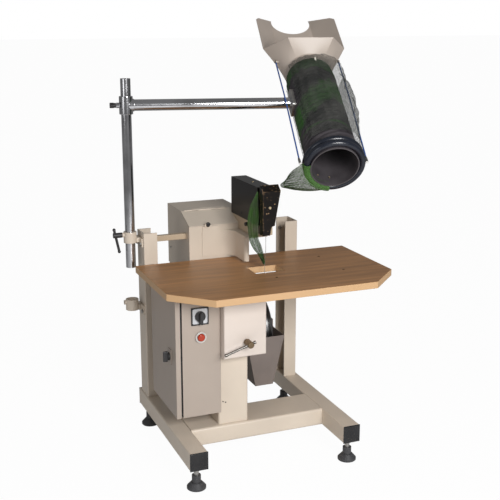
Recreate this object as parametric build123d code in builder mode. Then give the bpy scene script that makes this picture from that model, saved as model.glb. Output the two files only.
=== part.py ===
from build123d import *
from math import cos, radians, sin
import os

# Net clipping machine on a welded stand, in millimetres.
# The origin is on the floor under the middle of the whole machine.
# +X runs to the right along the table, +Y to the back, +Z up.

# Stand
rail_left_x = -372.5
rail_front_y = -442.0
rail_size = 60.0
rail_wall = 3.0
rail_length = 583.0
rail_pitch = 537.0
rail_bottom_z = 74.0
rail_mid_z = rail_bottom_z + rail_size / 2
rail_top_z = rail_bottom_z + rail_size
cross_front_y = rail_front_y + 160.0
cross_depth = 150.0

# Feet
foot_inset = 29.0
foot_pad_radius = 31.0
foot_pad_height = 22.0
foot_neck_radius = 14.5
foot_stud_radius = 8.0

# Column and uprights
column_x0 = rail_left_x + 159.0
column_width = 106.0
column_y0 = rail_front_y + 173.0
column_depth = 115.0
column_wall = 4.0
upright_width = 48.0
upright_depth = 84.0
upright_wall = 4.0
upright_y0 = rail_front_y + 485.0
upright_y1 = upright_y0 + upright_depth
upright_top_z = 733.0
left_upright_x = rail_left_x + 5.0
right_upright_x = rail_left_x + 536.0

# Table
table_x0 = rail_left_x - 29.0
table_x1 = rail_left_x + 767.0
table_y0 = rail_front_y - 3.0
table_y1 = rail_front_y + 481.0
table_top_z = 624.0
table_thickness = 22.0
table_chamfer = 120.0
table_under_z = table_top_z - table_thickness
slot_x0 = rail_left_x + 318.0
slot_x1 = rail_left_x + 424.0
slot_y0 = rail_front_y + 234.0
slot_y1 = rail_front_y + 315.0

# Control cabinet, its door on the left
cabinet_x0 = rail_left_x + 28.0
cabinet_x1 = column_x0
cabinet_y0 = rail_front_y + 145.0
cabinet_y1 = rail_front_y + 415.0
cabinet_z0 = 190.0
cabinet_z1 = 595.0
cabinet_wall = 2.0
door_gap = 6.0
door_thickness = 16.0
door_x1 = cabinet_x0 - door_gap
door_x0 = door_x1 - door_thickness
hinge_x = door_x0 + door_thickness / 2
hinge_y = cabinet_y1 + 6.5
hinge_radius = 5.0
hinge_pin_radius = 2.0
latch_y = rail_front_y + 208.0
latch_z = 386.0
switch_x = rail_left_x + 88.0
switch_z = 531.0
lamp_x = rail_left_x + 90.0
lamp_z = 460.5

# Clamp box on the column and its screw
box_x0 = column_x0
box_x1 = rail_left_x + 306.0
box_y0 = rail_front_y + 114.0
box_y1 = column_y0
box_z0 = 384.0
box_wall = 2.5
screw_x = rail_left_x + 236.0
screw_z = 436.0
screw_hub_radius = 11.0
screw_hub_y0 = rail_front_y + 72.0
tommy_y = screw_hub_y0 + 11.0
tommy_radius = 4.0
tommy_rise = 17.5

# Clipper housing behind the table
house_x0 = rail_left_x + 169.0
house_x1 = rail_left_x + 388.0
house_y0 = rail_front_y + 485.0
house_y1 = rail_front_y + 737.0
house_z0 = 560.0
house_front_z = 745.0
house_break_y = rail_front_y + 577.0
house_top_z = 783.0
sheet = 2.5
lid_x1 = rail_left_x + 349.0

# Clipping head
head_x0 = rail_left_x + 352.0
head_x1 = head_x0 + 58.0
head_mid_x = head_x0 + 20.0
head_y0 = rail_front_y + 306.0
head_y1 = rail_front_y + 551.0
head_z0 = 770.0
head_z1 = 901.0
nose_inset = 2.0
nose_z0 = 722.0
throat_gap = 20.0
block_thickness = 30.0
block_y1 = head_y0 - throat_gap
block_y0 = block_y1 - block_thickness
block_z0 = 744.0
block_z1 = 911.0
push_rod_z = 744.0
push_rod_radius = 6.0

# Mast, arm and clamps
mast_x = rail_left_x - 31.5
mast_y = rail_front_y + 526.5
mast_radius = 17.0
mast_wall = 2.5
mast_z0 = 613.0
mast_z1 = 1253.0
slip = 0.06
ring_radius = 22.5
ring_height = 38.0
upper_ring_z = 717.0
lower_ring_z = 475.0
arm_z = 1168.0
arm_radius = 19.0
arm_wall = 2.5
arm_heading = -13.5
arm_reach = 648.8
lever_hub_radius = 9.0

# Chute on the end of the arm
chute_tilt = 31.8
chute_radius = 80.0
chute_wall = 4.0
chute_back = -172.0
chute_mouth = 340.0
brake_radius = 10.5
brake_centre = chute_radius + brake_radius + 0.3
hopper_wall = 2.5

# Clip wire reel in its bin
reel_x0 = rail_left_x + 345.0
reel_width = 57.0
reel_y = rail_front_y + 400.0
reel_z = 385.0
reel_radius = 115.0
coil_radius = 90.0
core_radius = 42.0
axle_radius = 8.0
wire_radius = 0.8

os.makedirs("parts", exist_ok=True)
low = (Align.MIN, Align.MIN, Align.MIN)
base = (Align.CENTER, Align.CENTER, Align.MIN)


def save(part, label):
    """Label a finished piece and write it as one STEP file."""
    part.label = label
    export_step(part, f"parts/{label}.step")


def block(x0, x1, y0, y1, z0, z1, mode=Mode.ADD):
    """A box between low and high coordinates, for use inside a BuildPart."""
    with Locations((x0, y0, z0)):
        Box(x1 - x0, y1 - y0, z1 - z0, align=low, mode=mode)


def rod(start, end, radius, mode=Mode.ADD):
    """A round bar from one point to another, for use inside a BuildPart."""
    axis = Vector(*end) - Vector(*start)
    with Locations(Plane(origin=start, z_dir=axis)):
        Cylinder(radius, axis.length, align=base, mode=mode)


# Side rails: square tubes, bored underneath for the feet
rail_centres = [rail_left_x + rail_size / 2, rail_left_x + rail_pitch + rail_size / 2]
foot_rows = [rail_front_y + foot_inset, rail_front_y + rail_length - foot_inset]
foot_spots = [(x, y) for x in rail_centres for y in foot_rows]
for centre_x, label in zip(rail_centres, ("left_rail", "right_rail")):
    with BuildPart() as rail:
        with BuildSketch(Plane.XZ.offset(-rail_front_y)):
            with Locations((centre_x, rail_mid_z)):
                RectangleRounded(rail_size, rail_size, 5)
                RectangleRounded(rail_size - 2 * rail_wall, rail_size - 2 * rail_wall, 2.5, mode=Mode.SUBTRACT)
        extrude(amount=-rail_length)
        for foot_y in foot_rows:
            rod((centre_x, foot_y, rail_bottom_z - 1), (centre_x, foot_y, rail_bottom_z + 5), foot_stud_radius, Mode.SUBTRACT)
    save(rail.part, label)

# Cross member between the rails
with BuildPart() as cross_member:
    with BuildSketch(Plane.YZ.offset(rail_left_x + rail_size)):
        with Locations((cross_front_y + cross_depth / 2, rail_mid_z)):
            RectangleRounded(cross_depth, rail_size, 8)
            RectangleRounded(cross_depth - 2 * rail_wall, rail_size - 2 * rail_wall, 5, mode=Mode.SUBTRACT)
    extrude(amount=rail_pitch - rail_size)
save(cross_member.part, "cross_member")

# Black plugs in the four rail ends
plug_flange = 4.0
plug_insert = 14.0
plug_side = rail_size - 2 * rail_wall - 2
with BuildPart() as rail_end_caps:
    for end_y, outward in ((rail_front_y, -1), (rail_front_y + rail_length, 1)):
        with Locations([(x, end_y + outward * plug_flange / 2, rail_mid_z) for x in rail_centres]):
            Box(rail_size, plug_flange, rail_size)
        with Locations([(x, end_y - outward * plug_insert / 2, rail_mid_z) for x in rail_centres]):
            Box(plug_side, plug_insert, plug_side)
    chamfer(rail_end_caps.faces().sort_by(Axis.Y)[:2].edges(), 1.5)
    chamfer(rail_end_caps.faces().sort_by(Axis.Y)[-2:].edges(), 1.5)
save(rail_end_caps.part, "rail_end_caps")

# Levelling feet: pads, threaded studs and lock nuts
nut_height = 12.0
nut_z0 = rail_bottom_z - nut_height
neck_top_z = 46.0
with BuildPart() as foot_pads:
    with Locations([(x, y, 0) for x, y in foot_spots]):
        Cylinder(foot_pad_radius, 8, align=base)
    with Locations([(x, y, 8) for x, y in foot_spots]):
        Cone(foot_pad_radius, foot_neck_radius + 4, foot_pad_height - 8, align=base)
    with Locations([(x, y, foot_pad_height) for x, y in foot_spots]):
        Cylinder(foot_neck_radius, neck_top_z - foot_pad_height, align=base)
    chamfer(foot_pads.faces().group_by(Axis.Z)[0].edges(), 1.5)
    with Locations([(x, y, 30) for x, y in foot_spots]):
        Cylinder(foot_stud_radius, neck_top_z, align=base, mode=Mode.SUBTRACT)
save(foot_pads.part, "foot_pads")

with BuildPart() as foot_studs:
    with Locations([(x, y, 30) for x, y in foot_spots]):
        Cylinder(foot_stud_radius, 60, align=base)
    chamfer(foot_studs.faces().group_by(Axis.Z)[-1].edges(), 1)
    with BuildSketch(Plane.XY.offset(nut_z0)):
        with Locations(foot_spots):
            RegularPolygon(13, 6)
    extrude(amount=nut_height)
save(foot_studs.part, "foot_studs")

# Column with its top plate, the nut block of the clamp screw and the housing's console
column_x1 = column_x0 + column_width
column_y1 = column_y0 + column_depth
top_plate = 8.0
console_x0 = column_x0 + 13.0
with BuildPart() as column:
    with BuildSketch(Plane.XY.offset(rail_top_z)):
        with Locations((column_x0 + column_width / 2, column_y0 + column_depth / 2)):
            RectangleRounded(column_width, column_depth, 8)
            RectangleRounded(column_width - 2 * column_wall, column_depth - 2 * column_wall, 4, mode=Mode.SUBTRACT)
    extrude(amount=table_under_z - top_plate - rail_top_z)
    block(column_x0 + 1, column_x1 + 30, column_y0 + 1, column_y1 + 30, table_under_z - top_plate, table_under_z)
    with BuildSketch(Plane.XZ.offset(-column_y1)):
        with Locations((console_x0 + 40, house_z0 - 30)):
            RectangleRounded(80, 60, 6)
            RectangleRounded(72, 52, 3, mode=Mode.SUBTRACT)
    extrude(amount=-(house_y1 - column_y1))
    block(screw_x - 28, screw_x + 24, column_y0 - 26, column_y0, screw_z - 28, screw_z + 28)
    rod((screw_x, column_y0 - 27, screw_z), (screw_x, column_y0 + 5, screw_z), 8 + slip, Mode.SUBTRACT)
save(column.part, "column")

# Uprights: channels that open towards each other
for left_x, web_side, label in ((left_upright_x, 0, "left_upright"), (right_upright_x, 1, "right_upright")):
    hollow_x0 = left_x + upright_wall * (1 - web_side)
    hollow_x1 = left_x + upright_width - upright_wall * web_side
    with BuildPart() as upright:
        block(left_x, left_x + upright_width, upright_y0, upright_y1, rail_top_z, upright_top_z)
        block(hollow_x0, hollow_x1, upright_y0 + upright_wall, upright_y1 - upright_wall, rail_top_z, upright_top_z, Mode.SUBTRACT)
        web_edges = upright.edges().filter_by(Axis.Z).sort_by(Axis.X)
        fillet(web_edges[-2:] if web_side else web_edges[:2], 3)
    save(upright.part, label)

# Hex bolts: on the rear flanges of the uprights and on the ring clamps' plates
bolt_size = 7.5
bolt_head = 5.0
with BuildPart() as frame_bolts:
    for ring_z in (upper_ring_z, lower_ring_z):
        with BuildSketch(Plane.YZ.offset(left_upright_x - 5)):
            with Locations((mast_y - 22, ring_z - 24), (mast_y + 24, ring_z - 24)):
                RegularPolygon(bolt_size, 6)
        extrude(amount=-bolt_head)
    with BuildSketch(Plane.XZ.offset(-(upright_y1 - upright_wall))):
        with Locations((left_upright_x + 34, 694), (right_upright_x + 12, 694)):
            RegularPolygon(bolt_size, 6)
    extrude(amount=bolt_head)
save(frame_bolts.part, "frame_bolts")

# Angle behind the table that carries its rear edge
angle_wall = 6.0
with BuildPart() as table_bearer:
    block(left_upright_x, right_upright_x + upright_width, upright_y0 - 60, upright_y0, table_under_z - angle_wall, table_under_z)
    block(left_upright_x, right_upright_x + upright_width, upright_y0 - angle_wall, upright_y0, table_under_z - 40, table_under_z)
save(table_bearer.part, "table_bearer")

# Table top with cut corners and the slot under the head
with BuildPart() as table_top:
    block(table_x0, table_x1, table_y0, table_y1, table_under_z, table_top_z)
    front_corners = table_top.edges().filter_by(Axis.Z).group_by(Axis.Y)[0]
    chamfer(front_corners, table_chamfer)
    block(slot_x0, slot_x1, slot_y0, slot_y1, table_under_z - 1, table_top_z + 1, Mode.SUBTRACT)
    fillet(table_top.edges().filter_by(Axis.Z).group_by(Axis.Y)[-1], 4)
    fillet(table_top.faces().sort_by(Axis.Z)[-1].outer_wire().edges(), 1.5)
save(table_top.part, "table_top")

# Square tube from the left upright to the housing
bar_y0 = rail_front_y + 516.0
with BuildPart() as side_bar:
    block(left_upright_x + upright_wall, house_x0, bar_y0, bar_y0 + 20, 694, 714)
    fillet(side_bar.edges().filter_by(Axis.X), 2)
save(side_bar.part, "side_bar")

# Cabinet shell, open to the left, with cut-outs in front and its half of the hinges
hinge_levels = (290.0, 500.0)
knuckle = 16.0
pan_y = (cabinet_y0 + cabinet_wall, cabinet_y1 - cabinet_wall)
pan_z = (cabinet_z0 + cabinet_wall, cabinet_z1 - cabinet_wall)
with BuildPart() as cabinet_shell:
    block(cabinet_x0, cabinet_x1, cabinet_y0, cabinet_y1, cabinet_z0, cabinet_z1)
    fillet(cabinet_shell.edges().filter_by(Axis.Z).group_by(Axis.X)[-1], 3)
    block(cabinet_x0 - 1, cabinet_x1 - cabinet_wall, *pan_y, *pan_z, Mode.SUBTRACT)
    for level in hinge_levels:
        for z0 in (level - knuckle, level + knuckle):
            block(hinge_x, cabinet_x0 + 26, cabinet_y1, cabinet_y1 + 3.4, z0, z0 + knuckle)
            block(hinge_x, cabinet_x0 - 0.4, cabinet_y1 - 1, cabinet_y1 + 0.4, z0, z0 + knuckle, Mode.SUBTRACT)
            rod((hinge_x, hinge_y, z0), (hinge_x, hinge_y, z0 + knuckle), hinge_radius)
        rod((hinge_x, hinge_y, level - knuckle), (hinge_x, hinge_y, level + 2 * knuckle), hinge_pin_radius)
    rod((switch_x, cabinet_y0 - 1, switch_z), (switch_x, cabinet_y0 + 5, switch_z), 11, Mode.SUBTRACT)
    rod((lamp_x, cabinet_y0 - 1, lamp_z), (lamp_x, cabinet_y0 + 5, lamp_z), 11, Mode.SUBTRACT)
save(cabinet_shell.part, "cabinet_shell")

# Cabinet door: a shallow pan with its half of the hinges and the latch's plate
with BuildPart() as cabinet_door:
    block(door_x0, door_x1, cabinet_y0, cabinet_y1, cabinet_z0, cabinet_z1)
    fillet(cabinet_door.faces().sort_by(Axis.X)[0].edges(), 2)
    block(door_x0 + cabinet_wall, door_x1 + 1, *pan_y, *pan_z, Mode.SUBTRACT)
    for level in hinge_levels:
        block(hinge_x - 4, hinge_x + 4, cabinet_y1, hinge_y, level + 0.3, level + knuckle - 0.3)
        rod((hinge_x, hinge_y, level + 0.3), (hinge_x, hinge_y, level + knuckle - 0.3), hinge_radius)
        rod((hinge_x, hinge_y, level - 1), (hinge_x, hinge_y, level + knuckle), hinge_pin_radius + slip, Mode.SUBTRACT)
    with BuildSketch(Plane.YZ.offset(door_x0)):
        with Locations((latch_y, latch_z)):
            RectangleRounded(34, 52, 6)
    extrude(amount=-3)
    rod((door_x0 - 4, latch_y, latch_z), (door_x0 + 5, latch_y, latch_z), 6 + slip, Mode.SUBTRACT)
save(cabinet_door.part, "cabinet_door")

# Rubber seal on the inside of the door
seal_inset = 5.0
seal_width = 12.0
with BuildPart() as door_seal:
    y_in = (cabinet_y0 + seal_inset, cabinet_y1 - seal_inset)
    z_in = (cabinet_z0 + seal_inset, cabinet_z1 - seal_inset)
    block(door_x1, cabinet_x0 - 0.3, *y_in, *z_in)
    block(door_x1, cabinet_x0, y_in[0] + seal_width, y_in[1] - seal_width, z_in[0] + seal_width, z_in[1] - seal_width, Mode.SUBTRACT)
save(door_seal.part, "door_seal")

# Quarter-turn latch on the door
latch_face_x = door_x0 - 3.0
with BuildPart() as latch_wing:
    rod((latch_face_x - 0.3, latch_y, latch_z), (latch_face_x - 6, latch_y, latch_z), 13)
    with BuildSketch(Plane.YZ.offset(latch_face_x - 6)):
        with Locations((latch_y, latch_z)):
            SlotOverall(38, 9, rotation=90)
    extrude(amount=-14, taper=6)
    rod((latch_face_x - 1, latch_y, latch_z), (door_x1 + 12, latch_y, latch_z), 6)
    block(door_x1 + 9, door_x1 + 12, latch_y - 44, latch_y + 7, latch_z - 7, latch_z + 7)
save(latch_wing.part, "latch_wing")

# Main switch: plate and body in one, and the knob
switch_side = 50.0
with BuildPart() as main_switch:
    with BuildSketch(Plane.XZ.offset(-cabinet_y0)):
        with Locations((switch_x, switch_z)):
            RectangleRounded(switch_side, switch_side, 5)
    extrude(amount=3)
    with BuildSketch(Plane.XZ.offset(-cabinet_y0 + 2)):
        with Locations((switch_x, switch_z)):
            RectangleRounded(switch_side - 5, switch_side - 5, 3)
    extrude(amount=2, mode=Mode.SUBTRACT)
    rod((switch_x, cabinet_y0, switch_z), (switch_x, cabinet_y0 + 3, switch_z), 10.8)
    block(switch_x - 22, switch_x + 22, cabinet_y0 + 2.3, cabinet_y0 + 52, switch_z - 22, switch_z + 22)
    rod((switch_x, cabinet_y0 - 4, switch_z), (switch_x, cabinet_y0 + 14, switch_z), 5 + slip, Mode.SUBTRACT)
save(main_switch.part, "main_switch")

with BuildPart() as switch_knob:
    rod((switch_x, cabinet_y0 - 2.4, switch_z), (switch_x, cabinet_y0 - 9, switch_z), 17)
    with BuildSketch(Plane.XZ.offset(-cabinet_y0 + 9)):
        with Locations((switch_x, switch_z - 5)):
            SlotOverall(40, 11, rotation=90)
    extrude(amount=13, taper=4)
    rod((switch_x, cabinet_y0 - 3, switch_z), (switch_x, cabinet_y0 + 12, switch_z), 5)
save(switch_knob.part, "switch_knob")

# Pilot lamp: holder with its bezel, and the domed lens
with BuildPart() as lamp_holder:
    rod((lamp_x, cabinet_y0, lamp_z), (lamp_x, cabinet_y0 - 6, lamp_z), 16)
    chamfer(lamp_holder.faces().sort_by(Axis.Y)[0].edges(), 2)
    rod((lamp_x, cabinet_y0, lamp_z), (lamp_x, cabinet_y0 - 7, lamp_z), 12.5, Mode.SUBTRACT)
    rod((lamp_x, cabinet_y0, lamp_z), (lamp_x, cabinet_y0 + 34, lamp_z), 10.8)
    rod((lamp_x, cabinet_y0, lamp_z), (lamp_x, cabinet_y0 - 1, lamp_z), 12.5)
save(lamp_holder.part, "lamp_holder")

with BuildPart() as lamp_lens:
    rod((lamp_x, cabinet_y0 - 1, lamp_z), (lamp_x, cabinet_y0 - 12, lamp_z), 12.5)
    fillet(lamp_lens.faces().sort_by(Axis.Y)[0].edges(), 5)
save(lamp_lens.part, "lamp_lens")

# Inside the cabinet: panel with its rails, contactor and terminals
panel_x0 = cabinet_x1 - 14.0
rail_levels = (285.0, 420.0)
din_depth = 7.5
with BuildPart() as mounting_panel:
    block(panel_x0, panel_x0 + 2, cabinet_y0 + 22, cabinet_y1 - 22, cabinet_z0 + 25, cabinet_z1 - 25)
    for y in (cabinet_y0 + 32, cabinet_y1 - 32):
        for z in (cabinet_z0 + 35, cabinet_z1 - 35):
            rod((panel_x0 + 2, y, z), (cabinet_x1 - cabinet_wall, y, z), 5)
    for level in rail_levels:
        rail_run = (cabinet_y0 + 35, cabinet_y0 + 235)
        block(panel_x0 - din_depth, panel_x0, *rail_run, level - 17.5, level + 17.5)
        block(panel_x0 - din_depth - 1, panel_x0 - 1, *rail_run, level - 12.5, level + 12.5, Mode.SUBTRACT)
        block(panel_x0 - din_depth + 1, panel_x0 + 1, *rail_run, level - 18.5, level - 13.5, Mode.SUBTRACT)
        block(panel_x0 - din_depth + 1, panel_x0 + 1, *rail_run, level + 13.5, level + 18.5, Mode.SUBTRACT)
save(mounting_panel.part, "mounting_panel")

device_x1 = panel_x0 - din_depth
contactor_y0 = cabinet_y0 + 70.0
with BuildPart() as contactor:
    block(device_x1 - 52, device_x1, contactor_y0, contactor_y0 + 45, 385, 460)
    block(device_x1 - 70, device_x1 - 52, contactor_y0 + 6, contactor_y0 + 39, 400, 445)
    with Locations([(device_x1 - 52, contactor_y0 + y, z) for y in (8, 22.5, 37) for z in (390, 455)]):
        Cylinder(3.5, 12, rotation=(0, 90, 0), mode=Mode.SUBTRACT)
save(contactor.part, "contactor")

terminal_pitch = 8.0
terminal_count = 12
with BuildPart() as terminal_strip:
    block(device_x1 - 34, device_x1, cabinet_y0 + 60, cabinet_y0 + 60 + terminal_pitch * terminal_count, 262, 308)
    with Locations([(device_x1 - 34, cabinet_y0 + 64 + terminal_pitch * i, z) for i in range(terminal_count) for z in (270, 300)]):
        Box(10, 5, 6, mode=Mode.SUBTRACT)
save(terminal_strip.part, "terminal_strip")

# Clamp box on the front of the column
with BuildPart() as clamp_box:
    block(box_x0, box_x1, box_y0, box_y1, box_z0, table_under_z)
    fillet(clamp_box.faces().sort_by(Axis.Y)[0].edges().sort_by(Axis.Z)[:-1], 5)
    inner_z = (box_z0 + box_wall, table_under_z - box_wall)
    block(box_x0 + box_wall, box_x1 - box_wall, box_y0 + box_wall, box_y1 + 1, *inner_z, Mode.SUBTRACT)
    rod((screw_x, box_y0 - 1, screw_z), (screw_x, box_y0 + 5, screw_z), 9, Mode.SUBTRACT)
save(clamp_box.part, "clamp_box")

tommy_run = (cos(radians(tommy_rise)), sin(radians(tommy_rise)))


def along_tommy(distance):
    """Point on the tommy bar's axis, measured from the screw's own axis."""
    return (screw_x + distance * tommy_run[0], tommy_y, screw_z + distance * tommy_run[1])


with BuildPart() as clamp_screw:
    rod((screw_x, screw_hub_y0, screw_z), (screw_x, box_y0 - 4, screw_z), screw_hub_radius)
    chamfer(clamp_screw.faces().sort_by(Axis.Y)[0].edges(), 2)
    rod((screw_x, box_y0 - 5, screw_z), (screw_x, box_y1 - 4, screw_z), 8)
    rod(along_tommy(-15), along_tommy(15), tommy_radius + slip, Mode.SUBTRACT)
save(clamp_screw.part, "clamp_screw")

with BuildPart() as tommy_bar:
    rod(along_tommy(-88), along_tommy(19), tommy_radius)
    rod(along_tommy(-90), along_tommy(-83), 5.2)
    rod(along_tommy(13.5), along_tommy(20.5), 5.2)
save(tommy_bar.part, "tommy_bar")

# Clipper housing: a folded shell with an open slanted front, cut away where the head passes
lid_thickness = 3.0
hinge_bar_y = house_break_y - 2.5
hinge_bar_z = house_top_z
hinge_bar_radius = 2.0
hinge_bar_pin = 0.9
hinge_bar_ends = (house_x0 + 12, lid_x1 - 12)
roof_knuckles = [(hinge_bar_ends[0] + offset_x, hinge_bar_ends[0] + offset_x + 22) for offset_x in (30, 104)]
roof_slot_x = (rail_left_x + 216, rail_left_x + 343)
head_fit = 0.4
with BuildPart() as housing_shell:
    with BuildSketch(Plane.YZ.offset(house_x0)):
        with BuildLine():
            Polyline(
                (house_y0, house_z0),
                (house_y1, house_z0),
                (house_y1, house_top_z),
                (house_break_y, house_top_z),
                (house_y0, house_front_z),
                close=True,
            )
        make_face()
    extrude(amount=house_x1 - house_x0)
    with BuildSketch(Plane.YZ.offset(house_x0 + sheet)):
        with BuildLine():
            Polyline(
                (house_y0 + sheet, house_z0 + sheet),
                (house_y1 - sheet, house_z0 + sheet),
                (house_y1 - sheet, house_top_z - sheet),
                (house_break_y, house_top_z - sheet),
                (house_y0 + sheet, house_front_z - sheet),
                close=True,
            )
        make_face()
    extrude(amount=house_x1 - house_x0 - 2 * sheet, mode=Mode.SUBTRACT)
    with BuildSketch(Plane.YZ.offset(house_x0 - 1)):
        with BuildLine():
            Polyline(
                (house_y0 - 1, house_front_z - lid_thickness - 1),
                (house_break_y, house_top_z - lid_thickness),
                (house_break_y, house_top_z + 1),
                (house_y0 - 1, house_top_z + 1),
                close=True,
            )
        make_face()
    extrude(amount=lid_x1 - house_x0 + 1, mode=Mode.SUBTRACT)
    block(head_x0 - head_fit, house_x1 + 1, house_y0 - 1, head_y1 + head_fit, head_z0 - head_fit, house_top_z + 1, Mode.SUBTRACT)
    nose_side = head_x0 + nose_inset - head_fit
    block(nose_side, house_x1 + 1, house_y0 - 1, head_y1 + head_fit, nose_z0 - head_fit, head_z0, Mode.SUBTRACT)
    block(*roof_slot_x, house_break_y + 19, house_break_y + 24, house_top_z - 4, house_top_z + 1, Mode.SUBTRACT)
    for x0, x1 in roof_knuckles:
        rod((x0, hinge_bar_y, hinge_bar_z), (x1, hinge_bar_y, hinge_bar_z), hinge_bar_radius)
        block(x0, x1, hinge_bar_y, house_break_y + 2, house_top_z - 1.8, house_top_z)
    rod((hinge_bar_ends[0], hinge_bar_y, hinge_bar_z), (hinge_bar_ends[1], hinge_bar_y, hinge_bar_z), hinge_bar_pin)
save(housing_shell.part, "housing_shell")

# Slanted lid, hinged along its top edge, with its pull
lid_mid_x = house_x0 + 62.0
with BuildPart() as slant_lid:
    with BuildSketch(Plane.YZ.offset(house_x0)):
        with BuildLine():
            Polyline(
                (house_y0 - 1, house_front_z - 0.4),
                (house_break_y - 1.5, house_top_z - 0.4),
                (house_break_y - 1.5, house_top_z - lid_thickness + 0.1),
                (house_y0 - 1, house_front_z - lid_thickness + 0.1),
                close=True,
            )
        make_face()
    extrude(amount=lid_x1 - house_x0)
    rod((lid_mid_x, house_y0, house_front_z - 0.6), (lid_mid_x, house_y0 - 9, house_front_z - 0.6), 8)
    block(lid_mid_x - 9, lid_mid_x + 9, house_y0 - 10, house_y0, house_front_z - 10, house_front_z - 3, Mode.SUBTRACT)
    rod((hinge_bar_ends[0], hinge_bar_y, hinge_bar_z), (hinge_bar_ends[1], hinge_bar_y, hinge_bar_z), hinge_bar_radius)
    for x0, x1 in roof_knuckles:
        lid_notch = (hinge_bar_y - 3, house_break_y, house_top_z - 5, house_top_z + 3)
        block(x0 - 0.4, x1 + 0.4, *lid_notch, Mode.SUBTRACT)
    pin_run = (hinge_bar_ends[0] - 1, hinge_bar_ends[1] + 1)
    rod((pin_run[0], hinge_bar_y, hinge_bar_z), (pin_run[1], hinge_bar_y, hinge_bar_z), hinge_bar_pin + slip, Mode.SUBTRACT)
save(slant_lid.part, "slant_lid")

# Drive in the housing: motor, gearbox, output shaft and crank disc
motor_x = house_x0 + 70.0
motor_y = house_y1 - 90.0
gear_z0 = 690.0
gear_z1 = 720.0
crank_x = rail_left_x + 350.0
crank_y = rail_front_y + 620.0
crank_z = 728.0
with BuildPart() as drive_motor:
    with Locations((motor_x, motor_y, house_z0 + sheet)):
        Cylinder(56, gear_z0 - house_z0 - sheet - 12, align=base)
    with Locations((motor_x, motor_y, gear_z0 - 12)):
        Cylinder(62, 12, align=base)
    block(motor_x - 96 + 46, motor_x + 20, motor_y - 76, motor_y - 50, 600, 650)
save(drive_motor.part, "drive_motor")

with BuildPart() as gearbox:
    block(motor_x - 60, crank_x + 24, motor_y - 62, motor_y + 60, gear_z0, gear_z1)
    fillet(gearbox.edges().filter_by(Axis.Z), 8)
    rod((crank_x, crank_y, crank_z - 40), (crank_x, crank_y, crank_z), 10 + slip, Mode.SUBTRACT)
save(gearbox.part, "gearbox")

with BuildPart() as crank_disc:
    rod((crank_x, crank_y, crank_z - 30), (crank_x, crank_y, crank_z), 10)
    rod((crank_x, crank_y, crank_z), (crank_x, crank_y, crank_z + 8), 28)
    rod((crank_x + 7.5, crank_y, crank_z + 8), (crank_x + 7.5, crank_y, crank_z + 9), 5)
save(crank_disc.part, "crank_disc")

# Panel under the lid, running on as a curved guard to the head, with a flange under the nose
guard_x = rail_left_x + 331.0
guard_front_y = rail_front_y + 366.0
guard_bend = 40.0
guard_z0 = 632.0
guard_z1 = nose_z0 - 0.3
flange_front_y = rail_front_y + 345.0
with BuildPart() as curved_guard:
    with BuildSketch(Plane.XY.offset(guard_z0)):
        with BuildLine() as guard_line:
            FilletPolyline(
                (rail_left_x + 217, house_y0 - sheet / 2),
                (guard_x, house_y0 - sheet / 2),
                (guard_x, guard_front_y),
                (guard_x + 14, guard_front_y),
                radius=[guard_bend, 10],
            )
            offset(amount=sheet / 2)
        make_face()
    extrude(amount=guard_z1 - guard_z0)
    block(rail_left_x + 218, guard_x - guard_bend - 6, house_y0 - sheet, house_y0, guard_z1, house_front_z - 4)
    with BuildSketch(Plane.XY.offset(guard_z1 - sheet)):
        Polygon(
            (guard_x - guard_bend, house_y0 - sheet / 2),
            (guard_x - guard_bend, house_y0 - guard_bend),
            (guard_x, house_y0 - guard_bend),
            (guard_x, flange_front_y + 6),
            (guard_x + 20, flange_front_y),
            (head_x1 - 4, flange_front_y),
            (head_x1 - 4, house_y0 - sheet / 2),
            align=None,
        )
        with Locations((guard_x - guard_bend, house_y0 - sheet / 2 - guard_bend)):
            Circle(guard_bend, mode=Mode.SUBTRACT)
    extrude(amount=sheet)
save(curved_guard.part, "curved_guard")

# Nose of the head, bored for the push rod and slotted for the ram's link
link_y0 = head_y0 + 24.0
nose_foot_y1 = crank_y - 30.0
nose_rise = 12.0
with BuildPart() as head_nose:
    block(head_x0 + nose_inset, head_x1 - nose_inset, head_y0, head_y1, nose_z0, head_z0)
    chamfer(head_nose.edges().filter_by(Axis.Y).group_by(Axis.Z)[0], 3)
    with BuildSketch(Plane.YZ.offset(head_x0)):
        with BuildLine():
            Polyline((head_y0, nose_z0), (head_y0 + 39, nose_z0), (head_y0, nose_z0 + nose_rise), close=True)
        make_face()
    extrude(amount=head_x1 - head_x0, mode=Mode.SUBTRACT)
    block(head_x0 + nose_inset, crank_x + 22, head_y1 - 5, nose_foot_y1, gear_z1, gear_z1 + 6)
    rod((head_mid_x, head_y0 + 4, push_rod_z), (head_mid_x, head_y1 + 1, push_rod_z), push_rod_radius + slip, Mode.SUBTRACT)
    block(head_mid_x - 7, head_mid_x + 7, link_y0 - 20, link_y0 + 16, push_rod_z - 7, head_z0 + 1, Mode.SUBTRACT)
    rod((head_x0, rail_front_y + 399, 757), (head_x0 + 9, rail_front_y + 399, 757), 3 + slip, Mode.SUBTRACT)
save(head_nose.part, "head_nose")

with BuildPart() as nose_knob:
    rod((head_x0 + 1.6, rail_front_y + 399, 757), (head_x0 - 9, rail_front_y + 399, 757), 7)
    rod((head_x0 + 1, rail_front_y + 399, 757), (head_x0 + 8, rail_front_y + 399, 757), 3)
    chamfer(nose_knob.faces().sort_by(Axis.X)[0].edges(), 1.5)
save(nose_knob.part, "nose_knob")

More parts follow.
